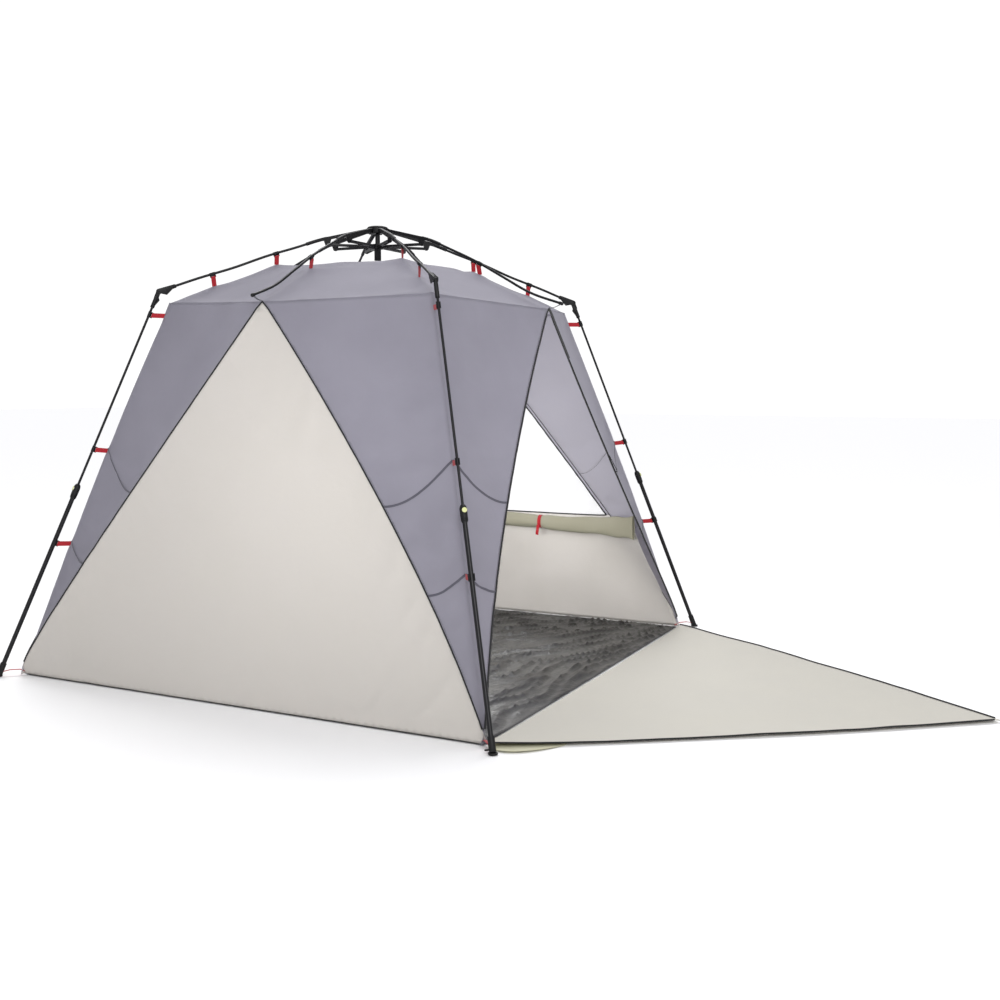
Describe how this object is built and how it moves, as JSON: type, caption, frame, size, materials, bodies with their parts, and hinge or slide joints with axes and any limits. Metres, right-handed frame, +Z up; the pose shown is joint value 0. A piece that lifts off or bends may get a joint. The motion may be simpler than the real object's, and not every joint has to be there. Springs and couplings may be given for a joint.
{
  "type": "beach tent on folding poles",
  "caption": "Square quick-pitch beach tent hung inside an umbrella pole frame, with telescopic legs, a window and an open triangular door flap.",
  "frame": {"origin": "on the ground at the centre of the groundsheet, straight under the hub", "axes": "+Z up; the door faces -Y and its flap lies on the ground towards -Y; +X is to the right when looking along +Y, on the side with the window"},
  "size_m": [2.0712, 3.3736, 1.7],
  "materials": {
    "black_plastic": "moulded, fine satin texture",
    "black_steel": "black powder-coated steel tube",
    "black_fibreglass": "black wrapped fibreglass rod, satin",
    "pale_plastic": "pale yellow-green moulded button",
    "grey_cloth": "grey coated polyester, plain weave",
    "white_cloth": "off-white coated polyester, plain weave",
    "cream_cloth": "cream coated polyester, plain weave",
    "beige_cloth": "beige coated polyester, rolled",
    "window_mesh": "white fine insect mesh",
    "floor_cloth": "charcoal coated floor cloth, creased"
  },
  "bodies": {
    "cloth": {"groundsheet": "floor_cloth", "roof": "grey_cloth", "wall_left": "white_cloth", "wall_back": "white_cloth", "wall_right": "white_cloth", "window_mesh": "window_mesh", "window_cover_roll": "beige_cloth", "corner_back_left": "grey_cloth", "corner_front_left": "grey_cloth", "corner_front_right": "grey_cloth", "corner_back_right": "grey_cloth"},
    "door_flap": {"door_flap": "cream_cloth"},
    "hub": {"hub_crown": "black_plastic", "hub_cap": "black_plastic", "hub_shaft": "black_steel"},
    "runner": {"runner": "black_plastic"},
    "rib_back_left": {"rib_back_left": "black_fibreglass", "rib_end_back_left": "black_plastic"},
    "strut_back_left": {"strut_back_left": "black_steel"},
    "upper_leg_back_left": {"leg_top_back_left": "black_plastic", "upper_leg_back_left": "black_fibreglass"},
    "lower_leg_back_left": {"lock_back_left": "black_plastic", "lower_leg_back_left": "black_steel", "foot_back_left": "black_plastic"},
    "button_back_left": {"button_back_left": "pale_plastic"},
    "rib_front_left": {"rib_front_left": "black_fibreglass", "rib_end_front_left": "black_plastic"},
    "strut_front_left": {"strut_front_left": "black_steel"},
    "upper_leg_front_left": {"leg_top_front_left": "black_plastic", "upper_leg_front_left": "black_fibreglass"},
    "lower_leg_front_left": {"lock_front_left": "black_plastic", "lower_leg_front_left": "black_steel", "foot_front_left": "black_plastic"},
    "button_front_left": {"button_front_left": "pale_plastic"},
    "rib_front_right": {"rib_front_right": "black_fibreglass", "rib_end_front_right": "black_plastic"},
    "strut_front_right": {"strut_front_right": "black_steel"},
    "upper_leg_front_right": {"leg_top_front_right": "black_plastic", "upper_leg_front_right": "black_fibreglass"},
    "lower_leg_front_right": {"lock_front_right": "black_plastic", "lower_leg_front_right": "black_steel", "foot_front_right": "black_plastic"},
    "button_front_right": {"button_front_right": "pale_plastic"},
    "rib_back_right": {"rib_back_right": "black_fibreglass", "rib_end_back_right": "black_plastic"},
    "strut_back_right": {"strut_back_right": "black_steel"},
    "upper_leg_back_right": {"leg_top_back_right": "black_plastic", "upper_leg_back_right": "black_fibreglass"},
    "lower_leg_back_right": {"lock_back_right": "black_plastic", "lower_leg_back_right": "black_steel", "foot_back_right": "black_plastic"},
    "button_back_right": {"button_back_right": "pale_plastic"},
    "rib_right": {"rib_right": "black_fibreglass"},
    "strut_right": {"strut_right": "black_steel"},
    "rib_back": {"rib_back": "black_fibreglass"},
    "strut_back": {"strut_back": "black_steel"},
    "rib_left": {"rib_left": "black_fibreglass"},
    "strut_left": {"strut_left": "black_steel"},
    "rib_front": {"rib_front": "black_fibreglass"},
    "strut_front": {"strut_front": "black_steel"}
  },
  "joints": [
    {"name": "hub_lift", "type": "slide", "parent": "cloth", "child": "hub", "axis": [0, 0, 1], "range_m": [0, 1.12], "deforming": ["roof", "wall_left", "wall_back", "wall_right", "window_mesh", "window_cover_roll", "corner_back_left", "corner_front_left", "corner_front_right", "corner_back_right"]},
    {"name": "runner_slide", "type": "slide", "parent": "hub", "child": "runner", "axis": [0, 0, -1], "range_m": [0, 0.2754]},
    {"name": "rib_fold_back_left", "type": "hinge", "parent": "hub", "child": "rib_back_left", "pos_m": [-0.02475, 0.02475, 1.684], "axis": [-0.7071, -0.7071, 0], "range_deg": [0, 62]},
    {"name": "strut_turn_back_left", "type": "hinge", "parent": "runner", "child": "strut_back_left", "pos_m": [-0.02475, 0.02475, 1.62], "axis": [0.7071, 0.7071, 0], "range_deg": [0, 82.6]},
    {"name": "elbow_back_left", "type": "hinge", "parent": "rib_back_left", "child": "upper_leg_back_left", "pos_m": [-0.59256, 0.59256, 1.421], "axis": [0.7071, 0.7071, 0], "range_deg": [0, 38.8]},
    {"name": "leg_slide_back_left", "type": "slide", "parent": "upper_leg_back_left", "child": "lower_leg_back_left", "axis": [0.277, -0.277, 0.9201], "range_m": [0, 0.6]},
    {"name": "button_press_back_left", "type": "slide", "parent": "lower_leg_back_left", "child": "button_back_left", "axis": [0.6506, -0.6506, -0.3917], "range_m": [0, 0.004], "stiffness_N_per_m": 600, "springref_m": -0.002},
    {"name": "rib_fold_front_left", "type": "hinge", "parent": "hub", "child": "rib_front_left", "pos_m": [-0.02475, -0.02475, 1.684], "axis": [0.7071, -0.7071, 0], "range_deg": [0, 62]},
    {"name": "strut_turn_front_left", "type": "hinge", "parent": "runner", "child": "strut_front_left", "pos_m": [-0.02475, -0.02475, 1.62], "axis": [-0.7071, 0.7071, 0], "range_deg": [0, 82.6]},
    {"name": "elbow_front_left", "type": "hinge", "parent": "rib_front_left", "child": "upper_leg_front_left", "pos_m": [-0.59256, -0.59256, 1.421], "axis": [-0.7071, 0.7071, 0], "range_deg": [0, 38.8]},
    {"name": "leg_slide_front_left", "type": "slide", "parent": "upper_leg_front_left", "child": "lower_leg_front_left", "axis": [0.277, 0.277, 0.9201], "range_m": [0, 0.6]},
    {"name": "button_press_front_left", "type": "slide", "parent": "lower_leg_front_left", "child": "button_front_left", "axis": [0.6506, 0.6506, -0.3917], "range_m": [0, 0.004], "stiffness_N_per_m": 600, "springref_m": -0.002},
    {"name": "rib_fold_front_right", "type": "hinge", "parent": "hub", "child": "rib_front_right", "pos_m": [0.02475, -0.02475, 1.684], "axis": [0.7071, 0.7071, 0], "range_deg": [0, 62]},
    {"name": "strut_turn_front_right", "type": "hinge", "parent": "runner", "child": "strut_front_right", "pos_m": [0.02475, -0.02475, 1.62], "axis": [-0.7071, -0.7071, 0], "range_deg": [0, 82.6]},
    {"name": "elbow_front_right", "type": "hinge", "parent": "rib_front_right", "child": "upper_leg_front_right", "pos_m": [0.59256, -0.59256, 1.421], "axis": [-0.7071, -0.7071, 0], "range_deg": [0, 38.8]},
    {"name": "leg_slide_front_right", "type": "slide", "parent": "upper_leg_front_right", "child": "lower_leg_front_right", "axis": [-0.277, 0.277, 0.9201], "range_m": [0, 0.6]},
    {"name": "button_press_front_right", "type": "slide", "parent": "lower_leg_front_right", "child": "button_front_right", "axis": [-0.6506, 0.6506, -0.3917], "range_m": [0, 0.004], "stiffness_N_per_m": 600, "springref_m": -0.002},
    {"name": "rib_fold_back_right", "type": "hinge", "parent": "hub", "child": "rib_back_right", "pos_m": [0.02475, 0.02475, 1.684], "axis": [-0.7071, 0.7071, 0], "range_deg": [0, 62]},
    {"name": "strut_turn_back_right", "type": "hinge", "parent": "runner", "child": "strut_back_right", "pos_m": [0.02475, 0.02475, 1.62], "axis": [0.7071, -0.7071, 0], "range_deg": [0, 82.6]},
    {"name": "elbow_back_right", "type": "hinge", "parent": "rib_back_right", "child": "upper_leg_back_right", "pos_m": [0.59256, 0.59256, 1.421], "axis": [0.7071, -0.7071, 0], "range_deg": [0, 38.8]},
    {"name": "leg_slide_back_right", "type": "slide", "parent": "upper_leg_back_right", "child": "lower_leg_back_right", "axis": [-0.277, -0.277, 0.9201], "range_m": [0, 0.6]},
    {"name": "button_press_back_right", "type": "slide", "parent": "lower_leg_back_right", "child": "button_back_right", "axis": [-0.6506, -0.6506, -0.3917], "range_m": [0, 0.004], "stiffness_N_per_m": 600, "springref_m": -0.002},
    {"name": "rib_fold_right", "type": "hinge", "parent": "hub", "child": "rib_right", "pos_m": [0.035, 0, 1.684], "axis": [0, 1, 0], "range_deg": [0, 62]},
    {"name": "strut_turn_right", "type": "hinge", "parent": "runner", "child": "strut_right", "pos_m": [0.035, 0, 1.62], "axis": [0, -1, 0], "range_deg": [0, 82.6]},
    {"name": "rib_fold_back", "type": "hinge", "parent": "hub", "child": "rib_back", "pos_m": [0, 0.035, 1.684], "axis": [-1, 0, 0], "range_deg": [0, 62]},
    {"name": "strut_turn_back", "type": "hinge", "parent": "runner", "child": "strut_back", "pos_m": [0, 0.035, 1.62], "axis": [1, 0, 0], "range_deg": [0, 82.6]},
    {"name": "rib_fold_left", "type": "hinge", "parent": "hub", "child": "rib_left", "pos_m": [-0.035, 0, 1.684], "axis": [0, -1, 0], "range_deg": [0, 62]},
    {"name": "strut_turn_left", "type": "hinge", "parent": "runner", "child": "strut_left", "pos_m": [-0.035, 0, 1.62], "axis": [0, 1, 0], "range_deg": [0, 82.6]},
    {"name": "rib_fold_front", "type": "hinge", "parent": "hub", "child": "rib_front", "pos_m": [0, -0.035, 1.684], "axis": [1, 0, 0], "range_deg": [0, 62]},
    {"name": "strut_turn_front", "type": "hinge", "parent": "runner", "child": "strut_front", "pos_m": [0, -0.035, 1.62], "axis": [-1, 0, 0], "range_deg": [0, 82.6]},
    {"name": "door_flap_lift", "type": "hinge", "parent": "cloth", "child": "door_flap", "pos_m": [0, -0.97, 0.001], "axis": [-1, 0, 0], "range_deg": [0, 97]}
  ],
  "couplings": [
    {"joint": "runner_slide", "follows": "hub_lift", "ratio": 0.24589},
    {"joint": "rib_fold_back_left", "follows": "hub_lift", "rad_per_m": 0.96616},
    {"joint": "strut_turn_back_left", "follows": "hub_lift", "rad_per_m": 1.2872},
    {"joint": "elbow_back_left", "follows": "hub_lift", "rad_per_m": 0.60463},
    {"joint": "rib_fold_front_left", "follows": "hub_lift", "rad_per_m": 0.96616},
    {"joint": "strut_turn_front_left", "follows": "hub_lift", "rad_per_m": 1.2872},
    {"joint": "elbow_front_left", "follows": "hub_lift", "rad_per_m": 0.60463},
    {"joint": "rib_fold_front_right", "follows": "hub_lift", "rad_per_m": 0.96616},
    {"joint": "strut_turn_front_right", "follows": "hub_lift", "rad_per_m": 1.2872},
    {"joint": "elbow_front_right", "follows": "hub_lift", "rad_per_m": 0.60463},
    {"joint": "rib_fold_back_right", "follows": "hub_lift", "rad_per_m": 0.96616},
    {"joint": "strut_turn_back_right", "follows": "hub_lift", "rad_per_m": 1.2872},
    {"joint": "elbow_back_right", "follows": "hub_lift", "rad_per_m": 0.60463},
    {"joint": "rib_fold_right", "follows": "hub_lift", "rad_per_m": 0.96616},
    {"joint": "strut_turn_right", "follows": "hub_lift", "rad_per_m": 1.2872},
    {"joint": "rib_fold_back", "follows": "hub_lift", "rad_per_m": 0.96616},
    {"joint": "strut_turn_back", "follows": "hub_lift", "rad_per_m": 1.2872},
    {"joint": "rib_fold_left", "follows": "hub_lift", "rad_per_m": 0.96616},
    {"joint": "strut_turn_left", "follows": "hub_lift", "rad_per_m": 1.2872},
    {"joint": "rib_fold_front", "follows": "hub_lift", "rad_per_m": 0.96616},
    {"joint": "strut_turn_front", "follows": "hub_lift", "rad_per_m": 1.2872}
  ]
}
